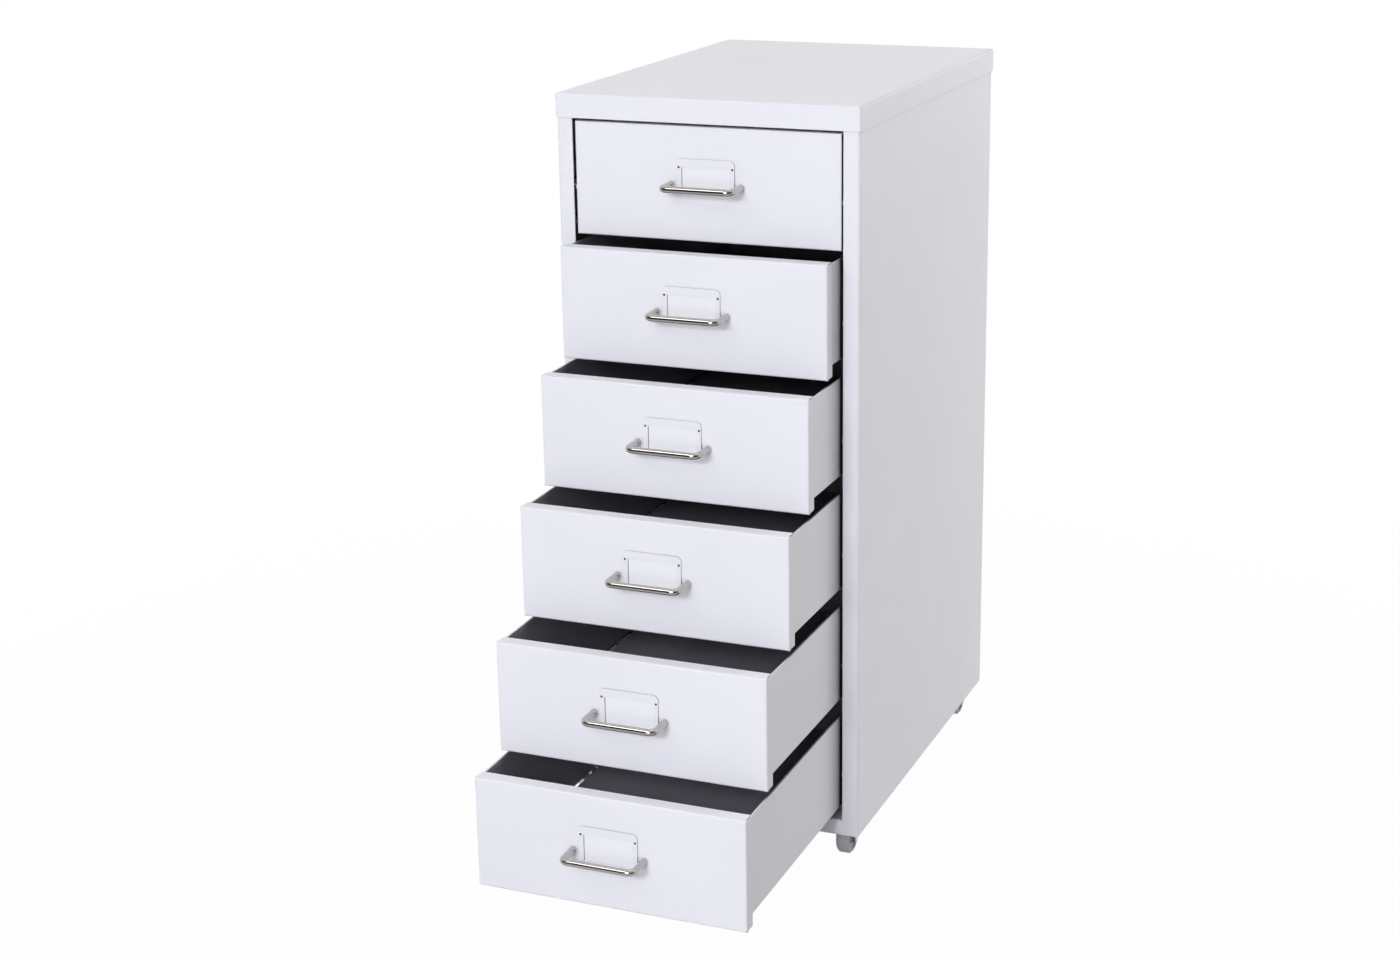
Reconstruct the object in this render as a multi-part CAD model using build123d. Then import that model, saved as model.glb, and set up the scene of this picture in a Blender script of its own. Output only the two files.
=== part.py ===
from build123d import *
import os
from math import sqrt

os.makedirs("parts", exist_ok=True)

# Rolling drawer cabinet of folded steel sheet, in millimetres.
# X runs to the right, Y to the back and Z up, with the floor at Z = 0.
# The drawers stand open in a staircase, the top one shut.

# Sheet and general fits
sheet = 0.8
bend = 1.6
overrun = 1.0
pin_clearance = 0.05
run_gap = 0.3

# Fronts and the openings around them
drawer_count = 6
front_width = 245.2
front_height = 99.6
drawer_gap = 4.4
top_gap = 2.6
side_gap = 1.9
rail_gap = 2.2
front_recess = 2.0
return_depth = 12.8
corner_seam = 1.0

# Carcass
cabinet_depth = 405.0
cap_skirt = 21.2
cap_round = 2.0
post_width = 14.7
post_bend = 3.0
post_hem = 9.0
rail_height = 14.4
rail_notch = 4.0
back_recess = 3.2
rear_flange = 14.0
back_flange = 10.0

# Travel of a drawer, and how far each one stands open
travel = 300.0
opening_shares = (0.0, 0.121, 0.274, 0.434, 0.612, 0.773)

# Trays
tray_raise = 10.8
tray_clearance = 12.0
tray_hem = 4.6
hem_setback = 2.0
slot_length = 20.5
slot_pitch = 32.5
slot_width = 3.4
slot_margin = 18.0
ear_reach = 9.0
ear_height = 22.0
ear_lift = 0.6

# Runners
runner_height = 34.0
runner_lip = 4.0
ledge_lap = 6.0
lip_gap = 1.1
stop_reach = 11.0
stop_height = 12.0
stop_lift = 8.0

# Label holder pressed out of each front
label_side_gap = 2.7
label_height = 31.0
label_top = 28.0
label_lip = 4.4
label_band = 7.4
label_raise = 1.2
label_round = 4.0
label_slit = 0.5
label_lap = 1.0
label_eye = 2.0

# Handle and its screws
handle_rod = 6.0
handle_span = 64.4
handle_reach = 27.0
handle_bend = 6.0
handle_drop = 50.9
screw_shank = 3.6
screw_bite = 8.0
screw_head = 7.6
screw_head_height = 2.2

# Screws of the back panel
back_screw_shank = 3.0
back_screw_length = 6.0
back_screw_head = 6.4
back_screw_head_height = 1.8
back_screw_margin = 55.0
back_screw_rows = 3

# Castors
castor_drop = 30.0
castor_side_inset = 20.0
castor_end_inset = 39.0
castor_trail = 9.0
plate_size = 34.0
plate_sheet = 1.6
plate_round = 4.0
plate_screw_pitch = 25.0
plate_screw_shank = 3.6
plate_screw_head = 6.0
plate_screw_head_height = 1.6
plate_screw_tip = 2.4
race_diameter = 19.0
race_height = 3.0
crown_diameter = 25.0
crown_sheet = 1.6
kingpin = 5.0
kingpin_head = 10.0
kingpin_head_height = 1.6
wheel_diameter = 30.0
wheel_width = 12.4
wheel_bevel = 2.0
hub_diameter = 11.0
hub_width = 13.0
rim_wall = 3.4
web_recess = 2.2
leg_gap = 0.4
leg_sheet = 1.6
leg_eye = 10.4
axle = 4.0
axle_head = 6.6
axle_head_height = 1.2

# Places that follow from the sizes above
openings = [share * travel for share in opening_shares]
half_width = front_width / 2 + side_gap + post_width
inner_half = half_width - sheet
cap_width = 2 * (half_width + sheet)
stack_height = drawer_count * front_height + (drawer_count - 1) * drawer_gap
body_height = rail_height + rail_gap + stack_height + top_gap + cap_skirt
reach_ahead = max(openings) + handle_reach - front_recess
cap_front = (reach_ahead - cabinet_depth) / 2
cap_back = cap_front + cabinet_depth
post_face = cap_front + sheet
front_face = cap_front + front_recess
rear_face = cap_back - back_recess
sides_bottom = castor_drop
floor_top = sides_bottom + rail_height
cap_top = sides_bottom + body_height
tray_half = front_width / 2 - sheet
tray_length = rear_face - 2 * sheet - tray_clearance - front_face - sheet
tray_end = sheet + tray_length
handle_height = front_height - handle_drop
label_width = handle_span - handle_rod - 2 * label_side_gap

CORNER = (Align.CENTER, Align.MIN, Align.MIN)
UPWARD = (Align.CENTER, Align.CENTER, Align.MIN)
DOWNWARD = (Align.CENTER, Align.CENTER, Align.MAX)


def front_bottom(index):
    """Height of the lower edge of a front, counted from the top drawer."""
    below_cap = cap_skirt + top_gap + (index + 1) * front_height + index * drawer_gap
    return cap_top - below_cap


def folded(points, radius):
    """Section of a folded sheet, thickened to the left of its outer line."""
    outer = [Vector(*point) for point in points]
    runs = [(end - start).normalized() for start, end in zip(outer, outer[1:])]
    left = [run.rotate(Axis.Z, 90) for run in runs]
    corners = [(a + b) / (1 + a.dot(b)) for a, b in zip(left, left[1:])]
    shifts = [left[0], *corners, left[-1]]
    inner = [point + shift * sheet for point, shift in zip(outer, shifts)]
    lines = FilletPolyline(*outer, radius=radius).edges()
    lines += FilletPolyline(*inner, radius=radius - sheet).edges()
    lines += [Edge.make_line(a, b) for a, b in zip(outer, inner) if a in (outer[0], outer[-1])]
    return make_face(lines)


def between(low, high):
    """Block between two opposite corners."""
    size = [b - a for a, b in zip(low, high)]
    return Pos(*low) * Box(*size, align=(Align.MIN, Align.MIN, Align.MIN))


def mirrored(part):
    """The same piece on the other side of the cabinet."""
    return mirror(part, about=Plane.YZ)


def save(part, name):
    """Writes one piece, or one group of like pieces, under its own name."""
    part.label = name
    export_step(part, f"parts/{name}.step")


# Carcass

def make_side_panel():
    """Right side: rear flange, flat side and front post with a flat hem."""
    post_edge = half_width - post_width
    outer_line = [
        (post_edge, post_face),
        (half_width, post_face),
        (half_width, rear_face),
        (half_width - rear_flange, rear_face),
    ]
    section = folded(outer_line, post_bend)
    hem = Pos(post_edge, post_face + sheet) * Rectangle(post_hem, sheet, align=Align.MIN)
    height = body_height - cap_round
    panel = extrude(Pos(0, 0, sides_bottom) * (section + hem), amount=height)
    return panel - back_screw_holes()


def make_back_panel():
    """Back sheet between the sides, flanged forward at its top and foot."""
    face = rear_face - sheet
    top = cap_top - cap_round
    outer_line = [
        (face - back_flange, floor_top),
        (face, floor_top),
        (face, top),
        (face - back_flange, top),
    ]
    section = Plane.YZ * folded(outer_line, bend)
    panel = extrude(section, amount=inner_half - post_bend, both=True)
    return panel - back_screw_holes()


def back_screw_places():
    """Centres of the screws through the rear flanges, on the outer face."""
    foot = floor_top + back_screw_margin
    head = cap_top - cap_skirt - back_screw_margin
    step = (head - foot) / (back_screw_rows - 1)
    across = half_width - (sheet + rear_flange) / 2
    rows = [foot + step * row for row in range(back_screw_rows)]
    return [(side * across, rear_face, height) for side in (-1, 1) for height in rows]


def back_screw_holes():
    """Clearance holes for the back panel's screws."""
    depth = 2 * (sheet + overrun)
    hole = Rot(X=90) * Cylinder(back_screw_shank / 2 + pin_clearance, 2 * depth)
    return [Pos(*place) * hole for place in back_screw_places()]


def make_back_screws():
    """Pan-head screws that hold the back panel to the sides."""
    forward = Rot(X=90)
    shank = forward * Cylinder(back_screw_shank / 2, back_screw_length, align=UPWARD)
    head = forward * Cylinder(back_screw_head / 2, back_screw_head_height, align=DOWNWARD)
    screw = shank + head
    return Compound(children=[Pos(*place) * screw for place in back_screw_places()])


def make_top_cap():
    """Lid folded over the sides, with a skirt all round."""
    lid = Pos(0, cap_front, cap_top - cap_skirt) * Box(cap_width, cabinet_depth, cap_skirt, align=CORNER)
    rounded = lid.edges().filter_by(Axis.Z) + lid.faces().sort_by(Axis.Z)[-1].edges()
    lid = fillet(rounded, cap_round)
    return offset(lid, amount=-sheet, openings=lid.faces().sort_by(Axis.Z)[0])


def make_base_pan():
    """Floor of the cabinet, folded down all round; its front wall is the rail."""
    depth = rear_face - sheet - post_bend - post_face
    pan = Pos(0, post_face, sides_bottom) * Box(2 * inner_half, depth, rail_height, align=CORNER)
    pan = fillet(pan.faces().sort_by(Axis.Z)[-1].edges().sort_by(Axis.Y)[0], bend)
    pan = offset(pan, amount=-sheet, openings=pan.faces().sort_by(Axis.Z)[0])
    notch = between(
        (half_width - post_width, post_face - overrun, sides_bottom - overrun),
        (half_width, post_face + rail_notch, floor_top + overrun),
    )
    pan -= [notch, mirrored(notch)]
    return pan - plate_screw_holes()


def make_runner(index):
    """Right runner: ledge under the tray, web on the side, lipped top, two stops."""
    web = inner_half
    ledge_top = front_bottom(index) + tray_raise - run_gap
    foot = ledge_top - sheet
    top = foot + runner_height
    lip = tray_half + lip_gap
    outer_line = [
        (tray_half - ledge_lap, foot),
        (web, foot),
        (web, top),
        (lip, top),
        (lip, top - runner_lip),
    ]
    start = post_face + post_bend
    ear_back = front_face + tray_end
    stop_back = ear_back - sheet - travel - run_gap
    end = ear_back + run_gap
    section = Pos(0, start, 0) * (Plane.XZ * folded(outer_line, bend))
    runner = extrude(section, amount=end + sheet - start, dir=(0, 1, 0))
    tab_low = (web - sheet - stop_reach, stop_back - sheet, ledge_top + stop_lift)
    tab_high = (web - sheet / 2, stop_back, ledge_top + stop_lift + stop_height)
    tab = between(tab_low, tab_high)
    window = between(
        (web - sheet - overrun, stop_back - sheet - stop_reach, tab_low[2]),
        (web + overrun, stop_back - sheet, tab_high[2]),
    )
    end_stop = Pos(0, end - stop_back + sheet, 0) * tab
    mouth = between(
        (tray_half - run_gap, start - overrun, foot - overrun),
        (half_width - post_width, front_face + return_depth + hem_setback, ledge_top + overrun),
    )
    return runner - window - mouth + tab + end_stop


# Castors

def castor_places():
    """Name, swivel centre and trailing side of each castor."""
    across = half_width - castor_side_inset
    front = cap_front + castor_end_inset
    rear = cap_back - castor_end_inset
    return [
        ("front_left", -across, front, -1),
        ("front_right", across, front, -1),
        ("rear_left", -across, rear, 1),
        ("rear_right", across, rear, 1),
    ]


plate_top = floor_top - sheet
race_foot = plate_top - plate_sheet - race_height
crown_top = race_foot - run_gap
crown_foot = crown_top - crown_sheet
wheel_height = wheel_diameter / 2
leg_inner = hub_width / 2 + leg_gap
leg_outer = leg_inner + leg_sheet


def plate_screw_places():
    """Centres of the screws of all four castor plates, under the plate."""
    reach = plate_screw_pitch / 2
    corners = [(a, b) for a in (-reach, reach) for b in (-reach, reach)]
    under = plate_top - plate_sheet
    return [(x + a, y + b, under) for _, x, y, _ in castor_places() for a, b in corners]


def plate_screw_holes():
    """Holes for the castor screws, through the plates and the floor."""
    depth = plate_sheet + sheet + overrun
    hole = Cylinder(plate_screw_shank / 2 + pin_clearance, 2 * depth)
    return [Pos(*place) * hole for place in plate_screw_places()]


def make_castor_plate(x, y):
    """Mounting plate with the race that the fork turns under."""
    plate = RectangleRounded(plate_size, plate_size, plate_round)
    plate = Pos(x, y, plate_top - plate_sheet) * extrude(plate, amount=plate_sheet)
    plate += Pos(x, y, race_foot) * Cylinder(race_diameter / 2, race_height, align=UPWARD)
    bore = Pos(x, y, race_foot) * Cylinder(kingpin / 2, plate_sheet + race_height, align=UPWARD)
    return plate - bore - plate_screw_holes()


def make_castor_kingpins():
    """Rivets that carry the forks, headed under each crown."""
    head_top = crown_foot - run_gap
    shank = Pos(0, 0, head_top) * Cylinder(kingpin / 2, plate_top - head_top, align=UPWARD)
    head = Pos(0, 0, head_top) * Cylinder(kingpin_head / 2, kingpin_head_height, align=DOWNWARD)
    rivet = shank + head
    return Compound(children=[Pos(x, y, 0) * rivet for _, x, y, _ in castor_places()])


def make_castor_screws():
    """Screws that hold the castor plates to the floor of the cabinet."""
    length = plate_sheet + sheet + plate_screw_tip
    shank = Cylinder(plate_screw_shank / 2, length, align=UPWARD)
    head = Cylinder(plate_screw_head / 2, plate_screw_head_height, align=DOWNWARD)
    screw = shank + head
    return Compound(children=[Pos(*place) * screw for place in plate_screw_places()])


def make_castor_fork(x, y, side):
    """Crown with two tapered legs that trail to the axle."""
    crown = Pos(0, 0, crown_foot) * Cylinder(crown_diameter / 2, crown_sheet, align=UPWARD)
    chord = sqrt((crown_diameter / 2) ** 2 - leg_outer ** 2)
    trail = side * castor_trail
    eye = Pos(trail, wheel_height) * Circle(leg_eye / 2)
    shoulder = Pos(0, crown_foot) * Rectangle(2 * chord, crown_sheet, align=(Align.CENTER, Align.MIN))
    leg = Plane.YZ * make_hull(eye.edges() + shoulder.edges())
    leg = Pos(leg_inner, 0, 0) * extrude(leg, amount=leg_sheet)
    fork = crown + leg + mirrored(leg)
    fork -= Pos(0, 0, crown_foot) * Cylinder(kingpin / 2 + pin_clearance, 2 * crown_sheet)
    axle_hole = Rot(Y=90) * Cylinder(axle / 2, 2 * leg_outer + overrun)
    fork -= Pos(0, trail, wheel_height) * axle_hole
    return Pos(x, y, 0) * fork


def make_castor_axle(x, y, side):
    """Rivet through both legs, headed outside them."""
    shank = Cylinder(axle / 2, 2 * leg_outer)
    head = Pos(0, 0, leg_outer) * Cylinder(axle_head / 2, axle_head_height, align=UPWARD)
    pin = shank + head + mirror(head, about=Plane.XY)
    return Pos(x, y + side * castor_trail, wheel_height) * (Rot(Y=90) * pin)


def make_castor_wheel(x, y, side):
    """Wheel turned in one piece: bevelled tread, thin web and hub."""
    rim_inner = wheel_diameter / 2 - rim_wall
    bore = axle / 2 + pin_clearance
    half_section = [
        (bore, 0),
        (bore, hub_width / 2),
        (hub_diameter / 2, hub_width / 2),
        (hub_diameter / 2, wheel_width / 2 - web_recess),
        (rim_inner, wheel_width / 2 - web_recess),
        (rim_inner, wheel_width / 2),
        (wheel_diameter / 2, wheel_width / 2),
        (wheel_diameter / 2, 0),
    ]
    section = make_face(Polyline(*half_section, close=True))
    shoulder = section.vertices().group_by(Axis.X)[-1].sort_by(Axis.Y)[-1]
    section = chamfer(shoulder, wheel_bevel)
    half = revolve(Plane.XZ * section, axis=Axis.Z)
    wheel = half + mirror(half, about=Plane.XY)
    return Pos(x, y + side * castor_trail, wheel_height) * (Rot(Y=90) * wheel)


# Drawers, each made with its front face at Y = 0 and lower edge at Z = 0

def handle_screw_places():
    """Centres of the handle's two screws on the front face."""
    return [(side * handle_span / 2, 0, handle_height) for side in (-1, 1)]


def handle_screw_holes():
    """Holes through the front and the tray for the handle's screws."""
    hole = Rot(X=90) * Cylinder(screw_shank / 2 + pin_clearance, 2 * (return_depth + overrun))
    return [Pos(*place) * hole for place in handle_screw_places()]


def make_front():
    """Front pan folded back all round, open at its corners, with its label holder."""
    pan = Box(front_width, return_depth, front_height, align=CORNER)
    pan = fillet(pan.faces().sort_by(Axis.Y)[0].edges(), bend)
    pan = offset(pan, amount=-sheet, openings=pan.faces().sort_by(Axis.Y)[-1])
    seam = Box(2 * corner_seam, 2 * (return_depth - 2 * bend), 2 * corner_seam)
    for side in (-1, 1):
        for height in (0, front_height):
            pan -= Pos(side * front_width / 2, return_depth, height) * seam
    pan -= handle_screw_holes()
    return with_label_holder(pan)


def label_block(sketch, near, far):
    """Block over a sketch of the front face, from depth near to depth far."""
    return extrude(Pos(0, near, 0) * (Plane.XZ * sketch), amount=far - near, dir=(0, 1, 0))


def with_label_holder(pan):
    """Presses three lips out of the front, round a tongue that backs the card."""
    top = front_height - label_top
    foot = top - label_height
    middle = (Align.CENTER, Align.MIN)
    outline = Pos(0, foot) * Rectangle(label_width, label_height, align=middle)
    outline = fillet(outline.vertices().group_by(Axis.Y)[-1], label_round)
    hollow = offset(outline, amount=-sheet)
    window_width = label_width - 2 * label_lip
    window_height = label_height - label_band
    window = Pos(0, foot - overrun) * Rectangle(window_width, window_height + overrun, align=middle)
    tongue_width = window_width - 2 * label_slit
    tongue = Pos(0, foot) * Rectangle(tongue_width, window_height + label_lap, align=middle)
    lip_back = sheet - label_raise
    pan += label_block(outline, -label_raise, 0)
    pan -= label_block(hollow, lip_back, sheet)
    pan -= label_block(window, -label_raise, 0)
    pan += label_block(tongue, 0, sheet)
    eye = Rot(X=90) * Cylinder(label_eye / 2, 2 * label_raise)
    across = label_width / 2 - sheet - label_eye / 2
    for side in (-1, 1):
        pan -= Pos(side * across, lip_back - label_raise, top - label_band) * eye
    return pan


def make_tray():
    """Open tray: folded walls, a floor slotted along its sides, hems and rear ears."""
    top = front_height - bend
    tray = Pos(0, sheet, tray_raise) * Box(2 * tray_half, tray_length, top - tray_raise, align=CORNER)
    tray = chamfer(tray.faces().sort_by(Axis.Y)[0].edges().filter_by(Axis.Z), bend)
    tray = offset(tray, amount=-sheet, openings=tray.faces().sort_by(Axis.Z)[-1])
    tray -= handle_screw_holes()
    hem = between(
        (tray_half - 2 * sheet, return_depth + hem_setback, top - tray_hem),
        (tray_half - sheet, tray_end, top),
    )
    ear = between(
        (tray_half - sheet, tray_end - sheet, tray_raise + ear_lift + bend),
        (tray_half + ear_reach, tray_end, tray_raise + ear_lift + bend + ear_height),
    )
    slot = Box(slot_width, slot_length, 2 * (sheet + overrun))
    count = int((tray_length - 2 * slot_margin - slot_length) // slot_pitch) + 1
    first = sheet + (tray_length - (count - 1) * slot_pitch) / 2
    across = tray_half - sheet - slot_width / 2
    slots = [Pos(across, first + slot_pitch * row, tray_raise) * slot for row in range(count)]
    for side in (hem, ear):
        tray += side
        tray += mirrored(side)
    return tray - slots - [mirrored(cut) for cut in slots]


def make_handle():
    """Round bar bent square at both ends, tapped for its screws."""
    half = handle_span / 2
    bar = handle_rod / 2 - handle_reach
    path = FilletPolyline((-half, 0), (-half, bar), (half, bar), (half, 0), radius=handle_bend)
    path = Pos(0, 0, handle_height) * path
    rod = Plane(origin=(-half, 0, handle_height), z_dir=(0, -1, 0)) * Circle(handle_rod / 2)
    handle = sweep(rod, path=path)
    tapped = Rot(X=90) * Cylinder(screw_shank / 2 + pin_clearance, 2 * screw_bite)
    return handle - [Pos(*place) * tapped for place in handle_screw_places()]


def make_handle_screws():
    """Two screws from inside the tray, through the front, into the handle."""
    inside = 2 * sheet
    forward = Pos(0, inside, 0) * Rot(X=90)
    shank = forward * Cylinder(screw_shank / 2, inside + screw_bite, align=UPWARD)
    head = forward * Cylinder(screw_head / 2, screw_head_height, align=DOWNWARD)
    screw = shank + head
    return Compound(children=[Pos(*place) * screw for place in handle_screw_places()])


# Carcass pieces
right_side = make_side_panel()
save(right_side, "side_panel_right")
save(mirrored(right_side), "side_panel_left")
save(make_back_panel(), "back_panel")
save(make_back_screws(), "back_screws")
save(make_top_cap(), "top_cap")
save(make_base_pan(), "base_pan")
for number in range(drawer_count):
    right_runner = make_runner(number)
    save(right_runner, f"runner_right_{number + 1}")
    save(mirrored(right_runner), f"runner_left_{number + 1}")

# Castor pieces
save(make_castor_kingpins(), "castor_kingpins")
save(make_castor_screws(), "castor_screws")
for corner, swivel_x, swivel_y, trailing in castor_places():
    save(make_castor_plate(swivel_x, swivel_y), f"castor_plate_{corner}")
    save(make_castor_fork(swivel_x, swivel_y, trailing), f"castor_fork_{corner}")
    save(make_castor_axle(swivel_x, swivel_y, trailing), f"castor_axle_{corner}")
    save(make_castor_wheel(swivel_x, swivel_y, trailing), f"castor_wheel_{corner}")

# Drawer pieces, in the photographed stance
drawer_pieces = {
    "drawer_front": make_front(),
    "drawer_tray": make_tray(),
    "handle": make_handle(),
    "handle_screws": make_handle_screws(),
}
for number in range(drawer_count):
    place = Pos(0, front_face - openings[number], front_bottom(number))
    for piece_name, piece in drawer_pieces.items():
        save(place * piece, f"{piece_name}_{number + 1}")
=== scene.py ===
import math
import bpy
from mathutils import Matrix, Vector


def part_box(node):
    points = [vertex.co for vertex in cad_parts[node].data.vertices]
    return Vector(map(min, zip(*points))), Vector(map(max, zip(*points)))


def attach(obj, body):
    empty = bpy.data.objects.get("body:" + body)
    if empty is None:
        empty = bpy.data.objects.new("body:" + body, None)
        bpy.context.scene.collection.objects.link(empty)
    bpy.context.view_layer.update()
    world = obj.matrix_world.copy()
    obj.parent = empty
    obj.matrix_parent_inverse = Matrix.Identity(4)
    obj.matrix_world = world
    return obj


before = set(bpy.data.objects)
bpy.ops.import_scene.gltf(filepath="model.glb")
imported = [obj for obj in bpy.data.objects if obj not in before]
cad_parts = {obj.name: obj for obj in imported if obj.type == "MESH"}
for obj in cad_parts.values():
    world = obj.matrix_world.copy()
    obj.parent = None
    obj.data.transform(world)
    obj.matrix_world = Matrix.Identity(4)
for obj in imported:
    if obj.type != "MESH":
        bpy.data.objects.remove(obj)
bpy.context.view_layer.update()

# Looks of a white steel drawer cabinet on castors, in metres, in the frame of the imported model.

MM = 0.001
DRAWERS = range(1, 7)
CORNERS = ("front_left", "front_right", "rear_left", "rear_right")
QUARTER_TURN = 90
WHITE = (1.0, 1.0, 1.0, 1.0)

# Camera, at the photograph's viewing angle: angles in degrees, lens and sensor in millimetres
CAMERA_PLACE = (0.76046, -1.91384, 0.97422)
CAMERA_AZIMUTH = 22.185
CAMERA_ELEVATION = 16.018
CAMERA_ROLL = -0.753
CAMERA_LENS = 60.61
CAMERA_SHIFT = (-0.0138, -0.0386)
SENSOR_WIDTH = 36.0

# Sheet sizes that the two-tone trays and the folds of the fronts and the lid are told apart by,
# and how squarely a face looks along an axis to count as facing that way
SHEET = 0.8 * MM
SHEET_MARGIN = 0.1 * MM
TRAY_HALF = 121.8 * MM
FRONT_FOLD_FROM = 100.0 * MM
FACING_SHARE = 0.5
SIDE_FACING_SHARE = 0.8
LID_FOLD_SHARE = 0.2

# Label card, behind the lips of its holder and in front of the tongue
LABEL_RAISE = 1.2 * MM
CARD_LEFT, CARD_RIGHT = -21.8 * MM, 23.4 * MM
CARD_TOP, CARD_FOOT = 33.0 * MM, 58.6 * MM
CARD_FRONT, CARD_BACK = 0.36 * MM, 0.08 * MM
CARD_ROUND = 1.5 * MM
CARD_ROUND_STEPS = 5

# Colours, linear
WHITE_PAINT = (0.8, 0.8, 0.825)
# Lid folds darker by this share: painted shade that dims their highlight
FOLD_SHADE_SHARE = 0.82
# Darker white of the trays and of the side folds of the fronts: painted shade of the drawers' sides
TRAY_SHADED_WHITE = (0.7, 0.7, 0.72)
CHARCOAL = (0.34, 0.345, 0.38)
PAPER = (0.84, 0.84, 0.865)
NICKEL = (0.52, 0.495, 0.475)
ZINC = (0.56, 0.57, 0.6)
DARK_ZINC = (0.12, 0.12, 0.125)
WHEEL_GREY = (0.46, 0.475, 0.48)
FLOOR_WHITE = (0.45, 0.45, 0.45)

# Noises are given as waves a metre and detail. Tables beside them pair stops of the noise with
# shares of a colour, with changes of a gloss, or with the gloss itself.
NEW_STOP = 0.5

# Powder coat
CLOUD_NOISE = (9.0, 3.0)
CLOUD_SHARES = [(0.3, 0.985), (0.7, 1.012)]
GLOSS_NOISE = (55.0, 4.0)
GLOSS_CHANGES = [(0.25, -0.04), (0.75, 0.05)]
PEEL_NOISE = (950.0, 1.5)
PEEL_STRENGTH = 0.25
PAINT_GLOSS, PAINT_PEEL = 0.5, 0.02 * MM
CHARCOAL_GLOSS, CHARCOAL_PEEL = 0.4, 0.025 * MM
PAINT_IOR = 1.48
PAINT_SPECULAR = 0.3

# Painted shade in the seams, gaps and creases of the painted sheets: the colour darkened by how open a
# place is within a reach
OPENNESS_SAMPLES = 8
PAINTED_SHADE_REACH = 5.0 * MM
PAINTED_SHADE_SHARES = [(0.1, 0.03), (0.35, 0.2), (0.52, 0.72), (0.8, 1.0)]
# Painted shade of the side panels and the base pan, for the lines under the lid and along the rail
PANEL_PAINTED_SHADE_SHARES = [(0.1, 0.04), (0.35, 0.3), (0.55, 0.55), (0.75, 0.84), (0.96, 1.0)]
# Painted shade of the trays over a wider reach, darkening them where other pieces are near, such as
# beside the posts
TRAY_PAINTED_SHADE_REACH = 36.0 * MM
TRAY_PAINTED_SHADE_SHARES = [(0.2, 0.02), (0.52, 0.12), (0.72, 0.66), (0.95, 1.0)]

# Plated steel: gloss, spread of the gloss, waves a metre of that spread, height of the grain
NICKEL_FINISH = (0.09, 0.015, 40.0, 0.0003 * MM)
ZINC_FINISH = (0.3, 0.05, 400.0, 0.01 * MM)
DARK_ZINC_FINISH = (0.38, 0.05, 400.0, 0.015 * MM)
PLATE_NOISE = (160.0, 4.0)
PLATE_SHARES = [(0.3, 0.96), (0.7, 1.04)]
PLATE_GLOSS_DETAIL = 3.0
PLATE_GLOSS_STOPS = (0.3, 0.7)
PLATE_GRAIN_NOISE = (1800.0, 2.0)
PLATE_GRAIN_STRENGTH = 0.2

# Wheel plastic
WHEEL_NOISE = (220.0, 5.0)
WHEEL_SHARES = [(0.25, 0.86), (0.75, 1.1)]
WHEEL_GLOSS_NOISE = (500.0, 3.0)
WHEEL_GLOSS = [(0.3, 0.42), (0.7, 0.62)]
WHEEL_GRAIN_NOISE = (2500.0, 2.0)
WHEEL_GRAIN_STRENGTH, WHEEL_GRAIN = 0.3, 0.03 * MM

# Paper
PAPER_NOISE = (1500.0, 4.0)
PAPER_SHARES = [(0.3, 0.97), (0.7, 1.02)]
PAPER_GLOSS = 0.85
FIBRE_NOISE = (4000.0, 2.0)
FIBRE_STRETCH = (1.0, 1.0, 0.3)
FIBRE_STRENGTH, FIBRE_HEIGHT = 0.2, 0.01 * MM

# Floor: how much of it the camera sees as plain white, near the object and away from it
FLOOR_HALF = 6.0
NEAR_WHITE_SHARE, FAR_WHITE_SHARE = 0.98, 1.0
NEAR_REACH, FAR_REACH = 0.45, 1.3

# Room that the pulls mirror: dark low in front, brighter overhead and behind, and the floor by how
# far ahead of the object it lies, from the room's reach to the object's middle
ROOM_DARK, ROOM_BRIGHT = 0.02, 0.58
ROOM_REACH = 2.0
ROOM_FLOOR_SHARES = [(0.15, ROOM_DARK), (0.55, 0.66), (0.85, 0.66), (1.0, 1.0)]
SKY_BACK_START, SKY_BACK_END = -0.35, 0.15
SKY_TOP_START, SKY_TOP_END = 0.42, 0.58

# Light: the soft light from all round, and lamps by azimuth, elevation, distance, size,
# the share of a written colour that each one gives on a surface square to it, and colour
LAMP_TARGET = (0.0, 0.0, 0.35)
SOFT_LIGHT_FRONT, SOFT_LIGHT_BACK = 0.2, 0.62
COOL, NEUTRAL = (0.918, 0.926, 1.0), (0.98, 0.98, 1.0)
WARM, PALE_WARM = (1.0, 0.96, 0.93), (1.0, 0.99, 0.95)
LAMPS = {
    "key": (3.0, 30.0, 6.0, (3.4, 2.8), 0.21, COOL),
    "front": (2.0, 22.5, 3.4, (0.9, 0.45), 0.355, COOL),
    "low": (5.0, 4.0, 2.6, (1.6, 0.9), 0.175, COOL),
    "strip": (-28.0, 42.0, 4.0, (0.9, 1.1), 0.07, WARM),
    "back_right": (148.0, 17.0, 3.4, (1.6, 1.6), 0.48, NEUTRAL),
    "back_left": (-118.0, 17.0, 3.4, (1.6, 1.6), 0.2, NEUTRAL),
    "top": (160.0, 76.0, 3.0, (1.6, 1.6), 0.07, PALE_WARM),
}


# Node trees

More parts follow.
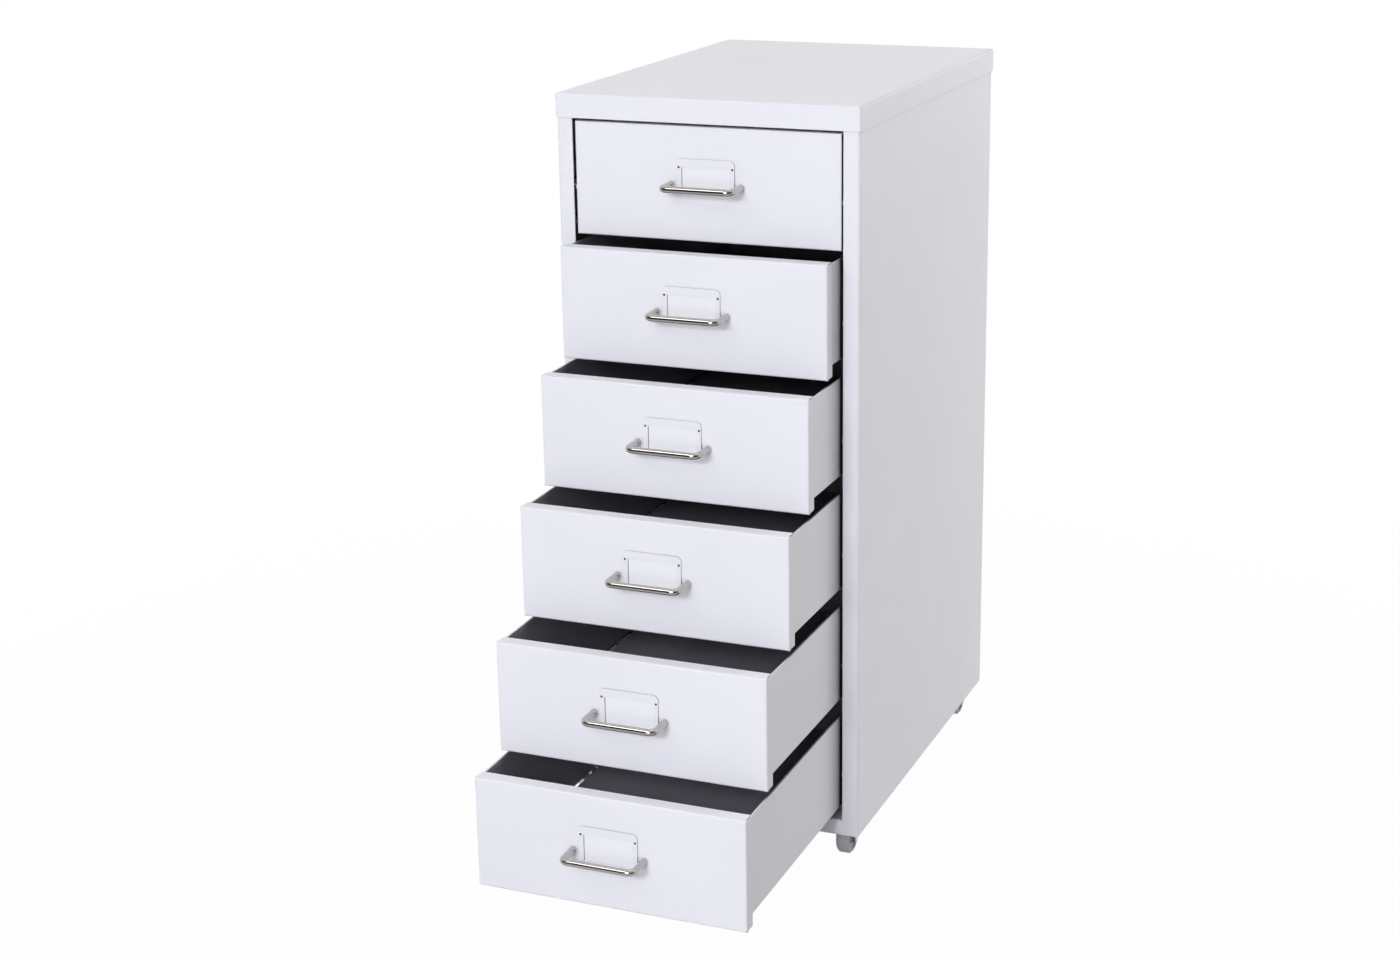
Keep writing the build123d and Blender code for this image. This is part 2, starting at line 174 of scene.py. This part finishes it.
class Nodes:
    """Node tree, with short ways to add and join nodes."""

    def __init__(self, tree):
        self.tree = tree

    def add(self, kind, **settings):
        node = self.tree.nodes.new(kind)
        for key, value in settings.items():
            setattr(node, key, value)
        return node

    def join(self, source, target):
        self.tree.links.new(source, target)

    def along(self, source, axis):
        """One axis of a place or direction."""
        node = self.add("ShaderNodeSeparateXYZ")
        self.join(source, node.inputs[0])
        return node.outputs[axis]

    def rise(self, source, span, low, high, kind="SMOOTHSTEP"):
        """Value that goes from low to high while a source goes through a span."""
        node = self.add("ShaderNodeMapRange", interpolation_type=kind)
        for key, value in zip(("From Min", "From Max", "To Min", "To Max"), (*span, low, high)):
            node.inputs[key].default_value = value
        self.join(source, node.inputs["Value"])
        return node.outputs["Result"]

    def combine(self, operation, first, second):
        """Two values put together by a sum of some kind."""
        node = self.add("ShaderNodeMath", operation=operation)
        self.join(first, node.inputs[0])
        self.join(second, node.inputs[1])
        return node.outputs[0]

    def mix(self, share, first, second):
        """Shader that goes from one to another by a share."""
        node = self.add("ShaderNodeMixShader")
        self.join(share, node.inputs["Fac"])
        self.join(first, node.inputs[1])
        self.join(second, node.inputs[2])
        return node.outputs["Shader"]


class Surface(Nodes):
    """Node tree of one material, with its shader."""

    def __init__(self, name):
        self.material = bpy.data.materials.new(name)
        self.material.use_nodes = True
        super().__init__(self.material.node_tree)
        self.shader = self.tree.nodes["Principled BSDF"]

    def place(self):
        return self.add("ShaderNodeTexCoord").outputs["Object"]

    def noise(self, waves, detail, stretch=None):
        """Noise over the piece, at some waves a metre."""
        node = self.add("ShaderNodeTexNoise")
        node.inputs["Scale"].default_value = waves
        node.inputs["Detail"].default_value = detail
        source = self.place()
        if stretch:
            mapping = self.add("ShaderNodeMapping")
            mapping.inputs["Scale"].default_value = stretch
            self.join(source, mapping.inputs["Vector"])
            source = mapping.outputs["Vector"]
        self.join(source, node.inputs["Vector"])
        return node.outputs["Fac"]

    def ramp(self, source, stops):
        """Colour or grey that follows a source through a few stops."""
        node = self.add("ShaderNodeValToRGB")
        elements = node.color_ramp.elements
        while len(elements) < len(stops):
            elements.new(NEW_STOP)
        for element, (position, value) in zip(elements, stops):
            element.position = position
            colour = value if isinstance(value, tuple) else (value, value, value)
            element.color = (*colour, 1.0)
        self.join(source, node.inputs["Fac"])
        return node.outputs["Color"]

    def clouds(self, colour, noise, shares):
        """Colour that drifts through shares of itself."""
        return self.ramp(self.noise(*noise), [(stop, shade(colour, share)) for stop, share in shares])

    def bump(self, source, strength, height):
        node = self.add("ShaderNodeBump")
        node.inputs["Strength"].default_value = strength
        node.inputs["Distance"].default_value = height
        self.join(source, node.inputs["Height"])
        self.join(node.outputs["Normal"], self.shader.inputs["Normal"])

    def feed(self, key, source):
        """Joins a source to an input of the shader."""
        self.join(source, self.shader.inputs[key])

    def set(self, key, value):
        """Sets an input of the shader."""
        self.shader.inputs[key].default_value = value


def shade(colour, share):
    """The same colour, lighter or darker by a share."""
    return tuple(min(1.0, part * share) for part in colour)


# Materials

def coat(name, colour, gloss=PAINT_GLOSS, peel=PAINT_PEEL,
         shade_reach=PAINTED_SHADE_REACH, shade_shares=PAINTED_SHADE_SHARES):
    """Baked powder coat: faint clouds of colour, painted shade in its seams and gaps, uneven gloss and
    a fine orange peel.
    """
    m = Surface(name)
    # Painted shade: the colour is multiplied by a ramp of how open each place is
    openness = m.add("ShaderNodeAmbientOcclusion", samples=OPENNESS_SAMPLES)
    openness.inputs["Distance"].default_value = shade_reach
    painted_shade = m.add("ShaderNodeMix", data_type="RGBA", blend_type="MULTIPLY")
    painted_shade.inputs["Factor"].default_value = 1.0
    m.join(m.clouds(colour, CLOUD_NOISE, CLOUD_SHARES), painted_shade.inputs["A"])
    m.join(m.ramp(openness.outputs["AO"], shade_shares), painted_shade.inputs["B"])
    m.feed("Base Color", painted_shade.outputs["Result"])
    stops = [(stop, gloss + change) for stop, change in GLOSS_CHANGES]
    m.feed("Roughness", m.ramp(m.noise(*GLOSS_NOISE), stops))
    m.set("IOR", PAINT_IOR)
    m.set("Specular IOR Level", PAINT_SPECULAR)
    m.bump(m.noise(*PEEL_NOISE), PEEL_STRENGTH, peel)
    return m.material


def plate(name, colour, gloss, spread, waves, grain):
    """Plated steel: a gloss that varies by a spread over some waves a metre, and a fine grain."""
    m = Surface(name)
    m.feed("Base Color", m.clouds(colour, PLATE_NOISE, PLATE_SHARES))
    stops = list(zip(PLATE_GLOSS_STOPS, (gloss - spread, gloss + spread)))
    m.feed("Roughness", m.ramp(m.noise(waves, PLATE_GLOSS_DETAIL), stops))
    m.set("Metallic", 1.0)
    m.bump(m.noise(*PLATE_GRAIN_NOISE), PLATE_GRAIN_STRENGTH, grain)
    return m.material


def wheel_plastic():
    """Moulded grey plastic: mottled, scuffed and a little waxy."""
    m = Surface("grey_wheel_plastic")
    m.feed("Base Color", m.clouds(WHEEL_GREY, WHEEL_NOISE, WHEEL_SHARES))
    m.feed("Roughness", m.ramp(m.noise(*WHEEL_GLOSS_NOISE), WHEEL_GLOSS))
    m.bump(m.noise(*WHEEL_GRAIN_NOISE), WHEEL_GRAIN_STRENGTH, WHEEL_GRAIN)
    return m.material


def paper():
    """Plain card: faint fibres, no gloss."""
    m = Surface("label_paper")
    m.feed("Base Color", m.clouds(PAPER, PAPER_NOISE, PAPER_SHARES))
    m.set("Roughness", PAPER_GLOSS)
    m.bump(m.noise(*FIBRE_NOISE, FIBRE_STRETCH), FIBRE_STRENGTH, FIBRE_HEIGHT)
    return m.material


white = coat("white_powder_coat", WHITE_PAINT)
# Folds of the lid: painted shade, a darker white that dims their highlight
fold_white_painted_shade = coat("fold_powder_coat_painted_shade", shade(WHITE_PAINT, FOLD_SHADE_SHARE))
# Side panels and base pan: the same white with painted shade of their own in the seams
panel_white_painted_shade = coat("panel_powder_coat_painted_shade", WHITE_PAINT, shade_shares=PANEL_PAINTED_SHADE_SHARES)
# Trays and the side folds of the fronts: darker white, painted shade of the drawers' sides
tray_shaded_white = coat("tray_powder_coat_painted_shade", TRAY_SHADED_WHITE,
                  shade_reach=TRAY_PAINTED_SHADE_REACH, shade_shares=TRAY_PAINTED_SHADE_SHARES)
charcoal = coat("charcoal_coat", CHARCOAL, CHARCOAL_GLOSS, CHARCOAL_PEEL)
nickel = plate("nickel_plate", NICKEL, *NICKEL_FINISH)
zinc = plate("zinc_plate", ZINC, *ZINC_FINISH)
dark_zinc = plate("dark_zinc_plate", DARK_ZINC, *DARK_ZINC_FINISH)
wheel_grey = wheel_plastic()
card_paper = paper()


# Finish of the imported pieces

def finish(node, *materials):
    """Puts materials in a piece's own slots, the first on all of it."""
    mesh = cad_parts[node].data
    mesh.materials.clear()
    for material in materials:
        mesh.materials.append(material)
    return mesh.polygons


def finish_tray(node):
    """Darker white outside and on its rim, painted shade of the drawers' sides; charcoal inside;
    charcoal on the face behind the label holder, painted shade seen through its slits.
    """
    low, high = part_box(node)
    for polygon in finish(node, tray_shaded_white, charcoal):
        x, y, z = polygon.center
        inside = abs(x) < TRAY_HALF - SHEET + SHEET_MARGIN and z > low.z + SHEET - SHEET_MARGIN
        inside = inside and low.y + SHEET - SHEET_MARGIN < y < high.y - SHEET + SHEET_MARGIN
        rim = polygon.normal.z > FACING_SHARE and z > high.z - SHEET_MARGIN
        # Charcoal on the tray's face behind the label holder: painted shade seen through the holder's
        # slits
        label_slit_shade = polygon.normal.y < -FACING_SHARE and y < low.y + SHEET_MARGIN
        polygon.material_index = 1 if label_slit_shade or (inside and not rim) else 0


def finish_front(node):
    """White face, with the sides of the folded edges in the trays' darker white, painted shade of the
    drawers' sides.
    """
    for polygon in finish(node, white, tray_shaded_white):
        sideways = abs(polygon.normal.x) > SIDE_FACING_SHARE
        polygon.material_index = 1 if sideways and abs(polygon.center.x) > FRONT_FOLD_FROM else 0


def finish_lid(node):
    """White, with a darker coat along the folds of the left and right edges: painted shade that dims
    their highlight.
    """
    for polygon in finish(node, white, fold_white_painted_shade):
        folded = min(abs(polygon.normal.x), polygon.normal.z) > LID_FOLD_SHARE
        polygon.material_index = 1 if folded else 0


finish("back_panel", white)
finish_lid("top_cap")
for node in ("side_panel_left", "side_panel_right", "base_pan"):
    finish(node, panel_white_painted_shade)
for node in ("back_screws", "castor_screws", "castor_kingpins"):
    finish(node, zinc)
for number in DRAWERS:
    finish(f"runner_left_{number}", white)
    finish(f"runner_right_{number}", white)
    finish_front(f"drawer_front_{number}")
    finish_tray(f"drawer_tray_{number}")
    finish(f"handle_{number}", nickel)
    finish(f"handle_screws_{number}", zinc)
for corner in CORNERS:
    finish(f"castor_plate_{corner}", dark_zinc)
    finish(f"castor_fork_{corner}", dark_zinc)
    finish(f"castor_axle_{corner}", zinc)
    finish(f"castor_wheel_{corner}", wheel_grey)


# Pieces that the scene adds

def add_object(name, data):
    """New object in the scene."""
    made = bpy.data.objects.new(name, data)
    bpy.context.scene.collection.objects.link(made)
    return made


def make_label_card(number):
    """Rounded card in the label holder of one drawer."""
    low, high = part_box(f"drawer_front_{number}")
    face = low.y + LABEL_RAISE
    corners = [(CARD_LEFT, CARD_FOOT), (CARD_RIGHT, CARD_FOOT),
               (CARD_RIGHT, CARD_TOP), (CARD_LEFT, CARD_TOP)]
    outline = []
    for turn, (x, drop) in enumerate(corners, start=2):
        middle_x = x - math.copysign(CARD_ROUND, x)
        middle_z = high.z - drop + (CARD_ROUND if drop == CARD_FOOT else -CARD_ROUND)
        for step in range(CARD_ROUND_STEPS + 1):
            angle = math.radians(QUARTER_TURN * (turn + step / CARD_ROUND_STEPS))
            outline.append((middle_x + CARD_ROUND * math.cos(angle),
                            middle_z + CARD_ROUND * math.sin(angle)))
    count = len(outline)
    points = [(x, face - depth, z) for depth in (CARD_FRONT, CARD_BACK) for x, z in outline]
    faces = [tuple(range(count)), tuple(range(2 * count - 1, count - 1, -1))]
    for i in range(count):
        j = (i + 1) % count
        faces.append((j, i, i + count, j + count))
    mesh = bpy.data.meshes.new(f"label_card_{number}")
    mesh.from_pydata(points, [], faces)
    mesh.materials.append(card_paper)
    card = add_object(f"label_card_{number}", mesh)
    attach(card, f"drawer_{number}")


for number in DRAWERS:
    make_label_card(number)


# Stage: floor, world, lamps and camera

def floor_white():
    """Pale surface that the camera sees as white, and that reflections see darker far ahead."""
    m = Surface("floor_white")
    m.set("Base Color", (*FLOOR_WHITE, 1.0))
    m.set("Roughness", 1.0)
    m.set("Specular IOR Level", 0.0)
    path = m.add("ShaderNodeLightPath")
    reach = m.add("ShaderNodeVectorMath", operation="LENGTH")
    m.join(m.place(), reach.inputs[0])
    share = m.rise(reach.outputs["Value"], (NEAR_REACH, FAR_REACH), NEAR_WHITE_SHARE, FAR_WHITE_SHARE)
    ahead = m.rise(m.along(m.place(), "Y"), (-ROOM_REACH, 0.0), 0.0, 1.0, "LINEAR")
    strength = m.combine("MAXIMUM", path.outputs["Is Camera Ray"], m.ramp(ahead, ROOM_FLOOR_SHARES))
    glow = m.add("ShaderNodeEmission")
    m.join(strength, glow.inputs["Strength"])
    seen = m.combine("MAXIMUM", path.outputs["Is Camera Ray"], path.outputs["Is Glossy Ray"])
    part = m.combine("MULTIPLY", seen, share)
    shader = m.mix(part, m.shader.outputs["BSDF"], glow.outputs["Emission"])
    m.join(shader, m.tree.nodes["Material Output"].inputs["Surface"])
    return m.material


def make_floor():
    """Floor that keeps the object's shadow."""
    half = FLOOR_HALF
    points = [(-half, -half, 0), (half, -half, 0), (half, half, 0), (-half, half, 0)]
    mesh = bpy.data.meshes.new("floor")
    mesh.from_pydata(points, [], [range(len(points))])
    mesh.materials.append(floor_white())
    floor = add_object("floor", mesh)


def make_world():
    """Soft light of a plain level; white for the camera, and for reflections of what lies behind."""
    world = bpy.data.worlds.new("studio")
    world.use_nodes = True
    bpy.context.scene.world = world
    w = Nodes(world.node_tree)
    sky = w.add("ShaderNodeTexCoord").outputs["Generated"]

    def background(strength):
        shader = w.add("ShaderNodeBackground")
        shader.inputs["Color"].default_value = WHITE
        w.join(strength, shader.inputs["Strength"])
        return shader.outputs["Background"]

    back = (SKY_BACK_START, SKY_BACK_END)
    light = background(w.rise(w.along(sky, "Y"), back, SOFT_LIGHT_FRONT, SOFT_LIGHT_BACK))
    behind = w.rise(w.along(sky, "Y"), back, ROOM_DARK, 1.0)
    overhead = w.rise(w.along(sky, "Z"), (SKY_TOP_START, SKY_TOP_END), ROOM_DARK, ROOM_BRIGHT)
    room = background(w.combine("MAXIMUM", behind, overhead))
    backdrop = w.tree.nodes["Background"]
    backdrop.inputs["Color"].default_value = WHITE
    path = w.add("ShaderNodeLightPath")
    reflected = w.mix(path.outputs["Is Glossy Ray"], light, room)
    seen = w.mix(path.outputs["Is Camera Ray"], reflected, backdrop.outputs["Background"])
    w.join(seen, w.tree.nodes["World Output"].inputs["Surface"])


def make_lamp(name, azimuth, elevation, distance, size, level, colour):
    """Soft rectangular lamp that looks at the object."""
    turn, rise = math.radians(azimuth), math.radians(elevation)
    out = Vector((math.sin(turn) * math.cos(rise), -math.cos(turn) * math.cos(rise), math.sin(rise)))
    data = bpy.data.lights.new(name, "AREA")
    data.shape = "RECTANGLE"
    data.size, data.size_y = size
    data.energy = level * (math.pi * distance) ** 2
    data.color = colour
    lamp = add_object(name, data)
    lamp.location = Vector(LAMP_TARGET) + out * distance
    lamp.rotation_mode = "QUATERNION"
    lamp.rotation_quaternion = (-out).to_track_quat("-Z", "Y")


def make_camera():
    """Camera from its place, its three angles, its lens and its shift."""
    angles = (CAMERA_AZIMUTH, CAMERA_ELEVATION, CAMERA_ROLL)
    azimuth, elevation, roll = (math.radians(angle) for angle in angles)
    forward = Vector((-math.sin(azimuth) * math.cos(elevation), math.cos(azimuth) * math.cos(elevation),
                      -math.sin(elevation)))
    level = Vector((math.cos(azimuth), math.sin(azimuth), 0))
    right = level * math.cos(roll) + level.cross(forward) * math.sin(roll)
    up = right.cross(forward)
    data = bpy.data.cameras.new("camera")
    data.sensor_width = SENSOR_WIDTH
    data.lens = CAMERA_LENS
    data.shift_x, data.shift_y = CAMERA_SHIFT
    camera = add_object("camera", data)
    turn = Matrix((right, up, -forward)).transposed()
    camera.matrix_world = Matrix.Translation(CAMERA_PLACE) @ turn.to_4x4()
    bpy.context.scene.camera = camera


make_floor()
make_world()
for lamp_name, values in LAMPS.items():
    make_lamp(lamp_name, *values)
make_camera()
bpy.context.scene.view_settings.view_transform = "Standard"
